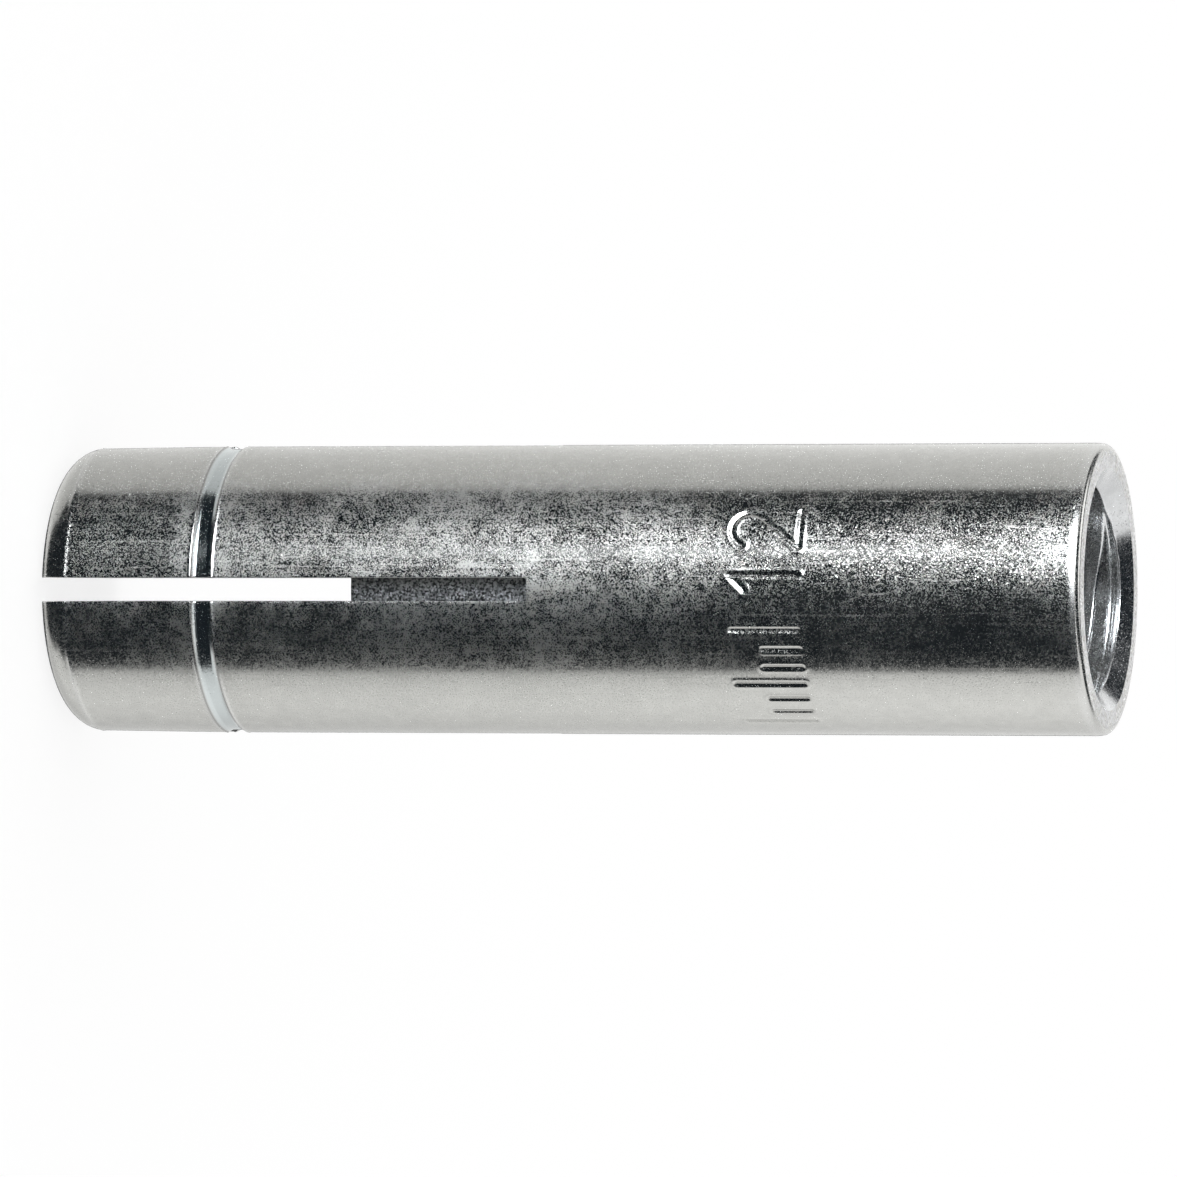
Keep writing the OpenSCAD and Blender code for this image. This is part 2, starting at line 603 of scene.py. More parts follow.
@dataclass
class StampedMark:
    """A row of plain graduations and a plain number, pressed into the sleeve around its axis.

    Attributes:
        base_z: Height of the marks' feet above the nose.
        size: Height of a long mark, towards the nose.
        depth: Depth of the marks.
        stroke: Width of a mark's floor.
        flank: Width of a mark's sloping side.
        lip: The metal pushed up beside a mark, by the distance from its edge.
        clear: Number of flanks from a mark's floor at which the surface is plain again.
        darkening: How much darker a mark's floor is.
        first_bar: Angle of the first graduation.
        bar_step: Angle between graduations.
        bars: Number of graduations.
        long_every: Number of graduations from one long one to the next.
        number_at: Angles of the number's digits.
    """

    base_z: float = 32.1
    size: float = 2.8
    depth: float = 0.05
    stroke: float = 0.08
    flank: float = 0.1
    lip: Swell = Swell(0.02, 0.05, 0.07)
    clear: int = 4
    darkening: float = 0.3
    first_bar: float = -64.0
    bar_step: float = 8.0
    bars: int = 7
    long_every: int = 3
    number_at: Span = (4.0, 24.0)

    @property
    def margin(self) -> float:
        """Distance from a stroke's middle at which the surface is plain again."""
        return self.stroke / 2 + self.clear * self.flank

    @property
    def low(self) -> float:
        """Lowest height that the mark reaches."""
        return self.base_z - self.size - self.margin

    @property
    def high(self) -> float:
        """Highest height that the mark reaches."""
        return self.base_z + self.margin

    def segments(self, radius: float) -> np.ndarray:
        """Lists the straight pieces of all strokes on the unrolled sleeve.

        Args:
            radius: Radius of the sleeve.

        Returns:
            Rows of start and end: arc length and height, twice.
        """
        placed = [
            (Glyph.SHORT_BAR if i % self.long_every else Glyph.LONG_BAR, self.first_bar + i * self.bar_step)
            for i in range(self.bars)
        ]
        placed += zip((Glyph.ONE, Glyph.TWO), self.number_at)
        rows = []
        for glyph, angle in placed:
            line = glyph.stroke() * self.size
            path = np.stack([math.radians(angle) * radius + line[:, 0], self.base_z - line[:, 1]], axis=1)
            rows.append(np.concatenate([path[:-1], path[1:]], axis=1))
        return np.concatenate(rows)

    def rise(self, angle: np.ndarray, height: float, radius: float) -> np.ndarray:
        """Gives how far the mark lifts or sinks the surface.

        Args:
            angle: Angles from the front, in degrees.
            height: Height above the nose.
            radius: Radius of the sleeve.

        Returns:
            Rises at those angles, negative in a mark.
        """
        if not self.low < height < self.high:
            return np.zeros_like(angle)
        turn = (angle + HALF_TURN) % FULL_TURN - HALF_TURN
        place = np.stack([np.radians(turn) * radius, np.full_like(angle, height)], axis=1)
        lines = self.segments(radius)
        start, run = lines[:, :2], lines[:, 2:] - lines[:, :2]
        offset = place[:, None, :] - start[None]
        share = np.clip((offset * run).sum(2) / (run * run).sum(1), 0.0, 1.0)
        away = np.linalg.norm(offset - share[..., None] * run, axis=2).min(1)
        edge = self.stroke / 2 + self.flank
        sunk = self.depth * (1.0 - smooth_step(self.stroke / 2, edge, away))
        return self.lip.at(away - edge) - sunk

    def grime(self, rise: np.ndarray) -> np.ndarray:
        """Gives how much darker the surface is where the mark sinks it."""
        return self.darkening * np.clip(-rise / self.depth, 0.0, 1.0)


@dataclass
class Ring:
    """Point numbers of one turn of the sleeve's skin, split at the slits.

    Attributes:
        legs: One row for each leg between two slits.
        slits: One row for each stretch in line with a slit, or none where the slits are open.
    """

    legs: list[np.ndarray]
    slits: list[np.ndarray]

    def over_slit(self, slit: int) -> np.ndarray:
        """Gives the row across one slit's stretch, with the legs' edges at both ends."""
        return np.concatenate([self.legs[slit - 1][-1:], self.slits[slit], self.legs[slit][:1]])

    def whole(self) -> np.ndarray:
        """Gives the closed row all the way round, with its first point again at the end."""
        parts = [row for pair in zip(self.slits, self.legs) for row in pair]
        return np.concatenate([*parts, self.slits[0][:1]])


@dataclass
class Sleeve:
    """The turned, slit and plated sleeve, from its rounded nose to its tapped mouth.

    Attributes:
        radius: Outside radius.
        length: Length from nose to mouth.
        thread_r: Radius at the thread's crests.
        thread_z: Height at which the thread starts.
        countersink_z: Height at which the countersink starts.
        plug_top_z: Height of the plug's upper end, where the tapered bore ends.
        nose_round: Radius of the nose's rounding.
        nose_pinch: How far the legs lean in at the nose.
        nose_ridge: The fine ridge where the rounding ends, by the height above the nose.
        groove_z: Height of the ring groove's middle.
        groove_w: Width of the groove.
        groove_depth: Depth of the groove.
        groove_flank: Width of the groove's sloping sides.
        groove_lip: Height of the metal pushed up beside the groove.
        lip_w: Width of that lip.
        slit_w: Width of a slit.
        slit_l: Length of a slit from the nose.
        slit_edge: Radius of the rubbed edges along a slit.
        slit_fade: Length below a slit's end over which that rounding fades.
        roll_off: How far the outside draws in towards the mouth's rim.
        roll_l: Length over which it does so.
        break_h: Height of the broken edge around the mouth.
        break_w: Width of the broken edge around the mouth.
        pitch: Pitch of the thread.
        thread_depth: Depth of the thread.
        thread_out: Depth below the mouth at which the thread's root ends.
        thread_fade: Rise of the root over which the thread runs out there.
        thread_phase: Turns from the thread's middle to a root, at the front.
        crest_flat: Share of the pitch that is flat at a crest.
        root_flat: Share of the pitch that is flat at a root.
        pocket_r: Radius of the straight bore above the plug.
        pocket_h: Height of that straight bore.
        taper: Slope of the bore's side below it, in degrees.
        turned_fade: Width over which the groove's smooth floor ends at its edges.
        groove_darkening: Darkening in the groove, by the distance from its edges.
        wear_w: Width of the wear on the groove's edges and on the ridge.
        groove_wear: Wear on the groove's edges.
        ridge_wear: Wear on the ridge.
        rim_wear: Wear on the mouth's rim, by the height above the broken edge's start.
        rub_reach: Distance over which the wear fades beside a slit.
        grain: Density of the dull grains on the plain side.
        grain_middle: How much denser they are about the middle, by the share of the length.
        grain_nose: The same at the nose, by the height above it.
        grain_rim: The same at the mouth, by the depth below it.
        grain_strip: The same beside the groove, by the distance from its edges.
        grain_smear: The same past a slit, by the height above its end.
        smear_w: Angle from a slit's middle over which that smear fades.
        edge_rows: Rows over a slit's rounded edge.
        slit_columns: Columns over the stretch above the front slit, where the mark is, and above others.
        bore_columns: Columns of the bore, over a leg and over a slit's stretch.
        mark: The mark pressed into the outside.
    """

    radius: float
    length: float
    thread_r: float
    thread_z: float
    countersink_z: float
    plug_top_z: float
    nose_round: float = 1.4
    nose_pinch: float = 0.06
    nose_ridge: Swell = Swell(0.027, 1.3, 0.083)
    groove_z: float = 7.15
    groove_w: float = 0.92
    groove_depth: float = 0.1
    groove_flank: float = 0.26
    groove_lip: float = 0.024
    lip_w: float = 0.055
    slit_w: float = 0.95
    slit_l: float = 20.9
    slit_edge: float = 0.05
    slit_fade: float = 0.4
    roll_off: float = 0.022
    roll_l: float = 0.26
    break_h: float = 0.25
    break_w: float = 0.3
    pitch: float = 1.5
    thread_depth: float = 0.812
    thread_out: float = 0.685
    thread_fade: float = 0.25
    thread_phase: float = 0.275
    crest_flat: float = 0.25
    root_flat: float = 0.125
    pocket_r: float = 3.98
    pocket_h: float = 2.4
    taper: float = 3.73
    turned_fade: float = 0.12
    groove_darkening: Swell = Swell(0.7, 0.04, 0.04)
    wear_w: float = 0.12
    groove_wear: float = 0.5
    ridge_wear: float = 0.4
    rim_wear: Swell = Swell(0.5, 0.0, 0.25)
    rub_reach: float = 0.06
    grain: float = 0.53
    grain_middle: Swell = Swell(0.66, 0.425, 0.255)
    grain_nose: Swell = Swell(0.15, 3.0, 4.5)
    grain_rim: Swell = Swell(0.2, 0.0, 2.0)
    grain_strip: Swell = Swell(0.5, 0.3, 0.28)
    grain_smear: Swell = Swell(0.5, 0.7, 0.8)
    smear_w: float = 5.0
    edge_rows: int = 4
    slit_columns: tuple[int, int] = (14, 4)
    bore_columns: tuple[int, int] = (35, 3)
    mark: StampedMark = field(default_factory=StampedMark)

    @classmethod
    def from_frame(cls) -> "Sleeve":
        """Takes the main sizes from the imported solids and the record's tapped hole.

        Returns:
            The sleeve, ready to build.
        """
        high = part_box("sleeve")[1]
        plug_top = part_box("expander_plug")[1].z / MM
        hole = next(mount for mount in frame["record"]["mounts"] if mount["name"] == "thread")
        top = hole["pos_m"][2] / MM
        crest = hole["dims"]["r_mm"]
        return cls(high.x / MM, high.z / MM, crest, top - hole["dims"]["length_mm"], top, plug_top)

    @property
    def groove_edges(self) -> Span:
        """Heights of the ring groove's lower and upper edge."""
        return self.groove_z - self.groove_w / 2, self.groove_z + self.groove_w / 2

    @property
    def rim_z(self) -> float:
        """Height at which the broken edge around the mouth starts."""
        return self.length - self.break_h

    @property
    def shoulder_z(self) -> float:
        """Height at which the straight bore above the plug ends."""
        return self.plug_top_z + self.pocket_h

    def side_radius(self, height: np.ndarray) -> np.ndarray:
        """Gives the outside radius along the sleeve's side.

        Args:
            height: Heights above the nose.

        Returns:
            The radius at each height.
        """
        low, high = self.groove_edges
        entry = smooth_step(low, low + self.groove_flank, height)
        leave = smooth_step(high - self.groove_flank, high, height)
        lips = bell(height, low, self.lip_w) + bell(height, high, self.lip_w)
        groove = self.groove_lip * lips - self.groove_depth * (entry - leave)
        lean = self.nose_pinch * (1.0 - smooth_step(0.0, high, height))
        near_rim = np.clip((height - self.rim_z + self.roll_l) / self.roll_l, 0.0, 1.0)
        return self.radius + groove + self.nose_ridge.at(height) - lean - self.roll_off * near_rim**2

    def outer_profile(self) -> np.ndarray:
        """Lists the outside's section from the hole in the nose to the mouth's flat ring.

        Returns:
            Rows of radius and height.
        """
        face_rows, break_rows = 6, 8
        ridge_reach, groove_reach, slit_lead, slit_lip = 0.35, 0.75, 0.45, 0.06
        shoulder = self.radius - self.nose_round - self.nose_pinch
        face_r = np.linspace(self.bore_radius(0.0) + self.slit_edge, shoulder, face_rows)
        turn = np.radians(stepped([(0.0, 0), (60.0, 8), (QUARTER, 15)])[1:-1])
        nose_z = self.nose_round * (1.0 - np.cos(turn))
        nose_r = shoulder + self.nose_round * np.sin(turn) + self.nose_ridge.at(nose_z)
        side_z = stepped([
            (self.nose_round, 0),
            (self.nose_round + ridge_reach, 14),
            (self.groove_z - groove_reach, 6),
            (self.groove_z + groove_reach, 48),
            (self.slit_l - slit_lead, 14),
            (self.slit_l, 6),
            (self.slit_l + slit_lip, 1),
            (self.mark.low, 8),
            (self.mark.high, 58),
            (self.rim_z - self.roll_l, 10),
            (self.rim_z, 12),
        ])
        side_r = self.side_radius(side_z)
        turn = np.linspace(0.0, math.pi / 2, break_rows + 1)[1:]
        break_r = side_r[-1] - (self.break_w - self.roll_off) * (1.0 - np.cos(turn))
        break_z = self.rim_z + self.break_h * np.sin(turn)
        parts = ((face_r, 0.0), (nose_r, nose_z), (side_r, side_z), (break_r, break_z))
        return np.concatenate([section(radius, height) for radius, height in parts])

    def leg_shares(self, leg: int) -> np.ndarray:
        """Places a leg's columns, close together where the mark is.

        Args:
            leg: Number of the leg, counted from the front towards -X.

        Returns:
            Shares of the way across the leg, from 0 to 1.
        """
        fine, coarse = 0.6, 2.5
        finely = {0: (0.0, 42.0), 3: (QUARTER - 72.0, QUARTER)}
        start, end = finely.get(leg, (0.0, 0.0))
        stops = [(0.0, 0)]
        for place, step in ((start, coarse), (end, fine), (QUARTER, coarse)):
            run = place - stops[-1][0]
            if run > 0.0:
                stops.append((place, math.ceil(run / step)))
        return stepped(stops) / QUARTER

    def slit_angles(self, leg: int, radius: float, columns: int) -> np.ndarray:
        """Spreads columns over the stretch in line with the slit before this leg."""
        across = np.linspace(-self.slit_w / 2, self.slit_w / 2, columns + 2)[1:-1]
        return QUARTER * leg + np.degrees(np.arcsin(across / radius))

    def turned_at(self, height: float) -> float:
        """Gives how far the outside is turned smooth, as it is on the groove's floor."""
        half = self.groove_w / 2
        return 1.0 - float(smooth_step(half - self.turned_fade, half, abs(height - self.groove_z)))

    def groove_dark_at(self, height: float) -> float:
        """Gives how much darker the groove is at its edges."""
        return float(self.groove_darkening.at(self.groove_w / 2 - abs(height - self.groove_z)))

    def grain_at(self, height: float, angle: np.ndarray) -> np.ndarray:
        """Gives how dense the dull grains are, most so about the middle, by the groove and past a slit.

        Args:
            height: Height above the nose.
            angle: Angles from the front, in degrees.

        Returns:
            Density at those angles, a little over 1 at the middle.
        """
        middle = self.grain_middle.at(height / self.length)
        ends = self.grain_nose.at(height) + self.grain_rim.at(self.length - height)
        strip = self.grain_strip.at(abs(height - self.groove_z) - self.groove_w / 2)
        smear = self.grain_smear.at(height - self.slit_l) * bell(off_slit(angle), 0.0, self.smear_w)
        return self.grain + middle + ends + strip + smear

    def wear_at(self, height: float) -> float:
        """Gives how worn the outside's turned edges are.

        Args:
            height: Height above the nose.

        Returns:
            The wear there, from 0 to 1.
        """
        low, high = self.groove_edges
        wear = self.rim_wear.at(height - self.rim_z)
        for edge, amount in (
            (low, self.groove_wear),
            (high, self.groove_wear),
            (self.nose_ridge.middle, self.ridge_wear),
        ):
            wear += amount * bell(height, edge, self.wear_w)
        return float(np.clip(wear, 0.0, 1.0))

    def outer_ring(self, draft: MeshDraft, place: np.ndarray, normal: np.ndarray) -> Ring:
        """Adds one turn of the outside.

        Args:
            draft: The mesh in the making.
            place: Radius and height of the turn.
            normal: Direction out of the surface there, in radius and height.

        Returns:
            The turn's point numbers.
        """
        radius, height = place
        worn, turned, grime = self.wear_at(height), self.turned_at(height), self.groove_dark_at(height)
        half, edge = self.slit_w / 2, self.slit_edge
        sharpness = 1.0 - float(smooth_step(self.slit_l - self.slit_fade, self.slit_l, height))
        rounding = np.radians(np.linspace(0.0, QUARTER, self.edge_rows + 1)[1:])
        drop = edge * (1.0 - np.cos(rounding)) * sharpness
        edge_r, edge_z = radius - drop * normal[0], height - drop * normal[1]
        lean = np.degrees(np.arcsin((half + edge * (1.0 - np.sin(rounding))) / edge_r))
        edge_worn = np.full_like(rounding, max(worn, sharpness))
        edge_darkening = np.full_like(rounding, grime)
        start = math.degrees(math.asin((half + edge) / radius))
        span = QUARTER - 2 * start
        ring = Ring([], [])
        for leg in range(LEGS):
            shares = self.leg_shares(leg)
            angle = QUARTER * leg + start + shares * span
            rise = self.mark.rise(angle, height, self.radius)
            near = radius * np.radians(np.minimum(shares, 1.0 - shares) * span)
            rubbed = np.maximum(worn, sharpness * np.exp(-near / self.rub_reach))
            pressed = np.maximum(grime, self.mark.grime(rise))
            sides = np.concatenate([QUARTER * leg + lean[::-1], angle, QUARTER * (leg + 1) - lean])
            heights = between(edge_z, np.full_like(angle, height))
            points = around_axis(between(edge_r, radius + rise), sides, heights)
            wear, darkened = between(edge_worn, rubbed), between(edge_darkening, pressed)
            grain = self.grain_at(height, sides)
            ring.legs.append(draft.row(points, worn=wear, grime=darkened, grain=grain, turned=turned))
            if height >= self.slit_l:
                angle = self.slit_angles(leg, radius, self.slit_columns[min(leg, 1)])
                rise = self.mark.rise(angle, height, self.radius)
                points = around_axis(radius + rise, angle, height)
                darkened, grain = self.mark.grime(rise), self.grain_at(height, angle)
                ring.slits.append(draft.row(points, worn=worn, grime=darkened, grain=grain, turned=turned))
        return ring

    def bore_radius(self, height: float) -> float:
        """Gives the bore's plain radius, without the thread.

        Args:
            height: Height above the nose.

        Returns:
            The radius there.
        """
        if height >= self.thread_z:
            return self.thread_r + max(0.0, height - self.countersink_z)
        if height >= self.plug_top_z:
            return self.pocket_r + max(0.0, height - self.shoulder_z)
        return self.pocket_r - (self.plug_top_z - height) * math.tan(math.radians(self.taper))

    def bore_heights(self) -> np.ndarray:
        """Lists the heights of the bore's turns, from the mouth down to the nose."""
        looked_into = 2.6
        return stepped([
            (self.length, 0),
            (self.length - looked_into, 52),
            (self.thread_z, 96),
            (self.shoulder_z, 3),
            (self.plug_top_z, 4),
            (self.slit_l, 3),
            (0.0, 16),
        ])

    def thread_cut(self, angle: np.ndarray, height: float) -> np.ndarray:
        """Gives how deep the right-handed thread is cut.

        Args:
            angle: Angles from the front, in degrees.
            height: Height above the nose.

        Returns:
            Depths below the crests at those angles.
        """
        middle = (self.thread_z + self.countersink_z) / 2
        turns = (height - middle) / self.pitch + self.thread_phase + angle / FULL_TURN
        aside = np.round(turns) - turns
        ramp = 1.0 - 2.0 * np.abs(aside)
        shape = np.minimum((ramp - self.crest_flat) / (1.0 - self.root_flat - self.crest_flat), 1.0)
        root_z = height + aside * self.pitch
        run_in = smooth_step(self.thread_z, self.thread_z + self.pitch / 2, root_z)
        last_z = self.length - self.thread_out
        run_out = smooth_step(last_z - self.thread_fade, last_z, root_z)
        return self.thread_depth * np.clip(shape - run_out, 0.0, 1.0) * run_in

    def bore_ring(self, draft: MeshDraft, height: float) -> Ring:
        """Adds one turn of the bore.

        Args:
            draft: The mesh in the making.
            height: Height of the turn above the nose.

        Returns:
            The turn's point numbers.
        """
        radius = self.bore_radius(height)
        start = math.degrees(math.asin(self.slit_w / 2 / radius))
        over_leg, over_slit = self.bore_columns
        ring = Ring([], [])
        for leg in range(LEGS):
            angle = QUARTER * leg + np.linspace(start, QUARTER - start, over_leg)
            ring.legs.append(self.bore_row(draft, radius, angle, height))
            if height >= self.slit_l:
                angle = self.slit_angles(leg, radius, over_slit)
                ring.slits.append(self.bore_row(draft, radius, angle, height))
        return ring

    def bore_row(self, draft: MeshDraft, radius: float, angle: np.ndarray, height: float) -> np.ndarray:
        """Adds part of a turn of the bore, with the thread cut into it.

        Args:
            draft: The mesh in the making.
            radius: The bore's plain radius.
            angle: Angles of the points.
            height: Height of the turn.

        Returns:
            The row's point numbers.
        """
        deepest = np.full_like(angle, radius)
        if height > self.thread_z:
            deepest = np.maximum(radius, self.thread_r + self.thread_cut(angle, height))
        return draft.row(around_axis(deepest, angle, height))

    @staticmethod
    def join_rings(draft: MeshDraft, rings: list[Ring], region: Region) -> None:
        """Fills between turns that follow each other.

        Args:
            draft: The mesh in the making.
            rings: The turns in order.
            region: The kind of surface that they make.
        """
        for below, above in zip(rings, rings[1:]):
            for leg in range(LEGS):
                draft.band(below.legs[leg], above.legs[leg], region)
                if below.slits and above.slits:
                    draft.band(below.over_slit(leg), above.over_slit(leg), region)

    @staticmethod
    def close_slits(draft: MeshDraft, outer: list[Ring], bore: list[Ring]) -> None:
        """Makes the slits' sawn sides and ends, between the outside and the bore.

        Args:
            draft: The mesh in the making.
            outer: The outside's turns from the nose to the slits' end.
            bore: The bore's turns over the same stretch.
        """
        for leg in range(LEGS):
            for end in (0, -1):
                outside = np.array([ring.legs[leg][end] for ring in outer])
                inside = np.array([ring.legs[leg][end] for ring in bore])
                draft.zip_rows(outside, inside, Region.CUT)
            draft.zip_rows(outer[-1].over_slit(leg), bore[-1].over_slit(leg), Region.CUT)

    def build(self, finishes: list[bpy.types.Material]) -> bpy.types.Object:
        """Makes the sleeve in place of its plain solid.

        Args:
            finishes: One material for each kind of surface.

        Returns:
            The new piece.
        """
        draft = MeshDraft()
        profile, bore_heights = self.outer_profile(), self.bore_heights()
        tangent = np.gradient(profile, axis=0)
        normals = section(tangent[:, 1], -tangent[:, 0])
        normals /= np.linalg.norm(normals, axis=1, keepdims=True)
        outer = [self.outer_ring(draft, place, normal) for place, normal in zip(profile, normals)]
        bore = [self.bore_ring(draft, float(height)) for height in bore_heights]
        self.join_rings(draft, outer, Region.OUTSIDE)
        self.join_rings(draft, bore, Region.BORE)
        draft.zip_rows(outer[-1].whole(), bore[0].whole(), Region.FACE)
        for leg in range(LEGS):
            draft.zip_rows(outer[0].legs[leg], bore[-1].legs[leg], Region.OUTSIDE)
        slit_outer = [ring for ring, place in zip(outer, profile) if place[1] <= self.slit_l]
        slit_bore = [ring for ring, height in zip(bore, bore_heights) if height <= self.slit_l]
        self.close_slits(draft, slit_outer, slit_bore[::-1])
        piece = draft.build("slit_sleeve", finishes)
        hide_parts("sleeve")
        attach(piece, "root")
        return piece


@dataclass
class ExpanderPlug:
    """The tapered plug inside, seen through the slits.

    Attributes:
        front_z: Height of its lower end.
        rear_z: Height of its upper end.
        rear_r: Radius that its cone would have at the upper end.
        taper: Slope of its side, in degrees.
        edge: Size of the broken edges at both ends.
        face_r: Radii of the rows on both end faces.
        edge_rows: Rows over a broken edge.
        side_rows: Rows along the side.
        darkening: How much painted shadow lies along one side of each slit, where the slit's wall would shade
            the plug.
        shadow_reach: Angle from the middle of a slit over which the painted shadow builds up.
        columns: Number of columns around it.
    """

    front_z: float
    rear_z: float
    rear_r: float = 3.95
    taper: float = 3.73
    edge: float = 0.25
    face_r: tuple[float, ...] = (0.02, 0.6, 1.3, 2.0, 2.6)
    edge_rows: int = 7
    side_rows: int = 24
    darkening: float = 0.95
    shadow_reach: float = 7.0
    columns: int = 180

    @classmethod
    def from_frame(cls) -> "ExpanderPlug":
        """Takes the plug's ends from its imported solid."""
        low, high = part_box("expander_plug")
        return cls(low.z / MM, high.z / MM)

    def cone_radius(self, height: np.ndarray) -> np.ndarray:
        """Gives the cone's radius at heights above the nose."""
        return self.rear_r - (self.rear_z - np.asarray(height)) * math.tan(math.radians(self.taper))

    def profile(self) -> np.ndarray:
        """Lists the plug's section from the middle of its lower end to the middle of its upper end.

        Returns:
            Rows of radius and height.
        """
        low, high = self.front_z + self.edge, self.rear_z - self.edge
        turn = np.linspace(0.0, math.pi / 2, self.edge_rows)
        inwards, upwards = self.edge * (1.0 - np.sin(turn)), self.edge * (1.0 - np.cos(turn))
        side_z = np.linspace(low, high, self.side_rows)[1:-1]
        parts = (
            (np.array(self.face_r), self.front_z),
            (float(self.cone_radius(low)) - inwards, self.front_z + upwards),
            (self.cone_radius(side_z), side_z),
            (float(self.cone_radius(high)) - upwards, self.rear_z - inwards),
            (np.array(self.face_r[::-1]), self.rear_z),
        )
        return np.concatenate([section(radius, height) for radius, height in parts])

    def build(self, finish: bpy.types.Material) -> bpy.types.Object:
        """Makes the plug in place of its plain solid.

        Args:
            finish: The plug's material.

        Returns:
            The new piece.
        """
        draft = MeshDraft()
        angles = np.linspace(0.0, FULL_TURN, self.columns, endpoint=False)
        # Painted shadow: the plug is darkened along one side of each slit, as if the slit's wall shaded it
        grime = self.darkening * smooth_step(-self.shadow_reach / 2, self.shadow_reach, off_slit(angles))
        rows = [
            draft.row(around_axis(radius, angles, height), grime=grime)
            for radius, height in self.profile()
        ]
        closed = [np.append(row, row[0]) for row in rows]
        for below, above in zip(closed, closed[1:]):
            draft.band(below, above, 0)
        draft.fill([rows[0], rows[-1]], 0)
        piece = draft.build("tapered_plug", [finish])
        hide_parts("expander_plug")
        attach(piece, "root")
        return piece


@dataclass
class Camera:
    """The photograph's long lens, rolled so that the standing anchor lies across the picture.

    Attributes:
        lens: Focal length for a sensor of this width.
        sensor: Width of the sensor.
        distance: Distance to the point aimed at.
        tilt: Angle of the view below the horizontal.
        aim: Point aimed at.
    """

    lens: float = 290.6
    sensor: float = 36.0
    distance: float = 387.8
    tilt: float = 15.0
    aim: tuple[float, float, float] = (-0.039, 0.0, 21.92)

    def build(self) -> bpy.types.Object:
        """Makes the camera and hands it to the scene.

        Returns:
            The camera object.
        """
        tilt = math.radians(self.tilt)
        forward = Vector((0.0, math.cos(tilt), -math.sin(tilt)))
        up = Vector((-1.0, 0.0, 0.0))
        axes = Matrix((forward.cross(up), up, -forward)).transposed()
        place = Vector(self.aim) - forward * self.distance
        data = bpy.data.cameras.new("photo_camera")
        data.lens = self.lens
        data.sensor_width = self.sensor
        camera = add_object("photo_camera", data)
        camera.matrix_world = Matrix.Translation(place * MM) @ axes.to_4x4()
        bpy.context.scene.camera = camera
        return camera


@dataclass(frozen=True)
class Spot:
    """A round patch on the tent.

    Attributes:
        azimuth: Azimuth of its middle, from the front towards -X.
        elevation: Elevation of its middle.
        reach: Angle from its middle to its edge.
    """

    azimuth: float
    elevation: float
    reach: float

    def cover(self, azimuth: np.ndarray, elevation: np.ndarray, fade: float) -> np.ndarray:
        """Works out which directions the patch covers.

        Args:
            azimuth: Azimuths of the directions.
            elevation: Their elevations.
            fade: Angle over which the patch's edge fades, to both sides.

        Returns:
            Shares from 0 outside to 1 inside.
        """
        aside, up = np.radians(azimuth - self.azimuth), np.radians(elevation)
        level = math.radians(self.elevation)
        near = np.sin(up) * math.sin(level) + np.cos(up) * math.cos(level) * np.cos(aside)
        return within(self.reach, fade, np.degrees(np.arccos(np.clip(near, -1.0, 1.0))))


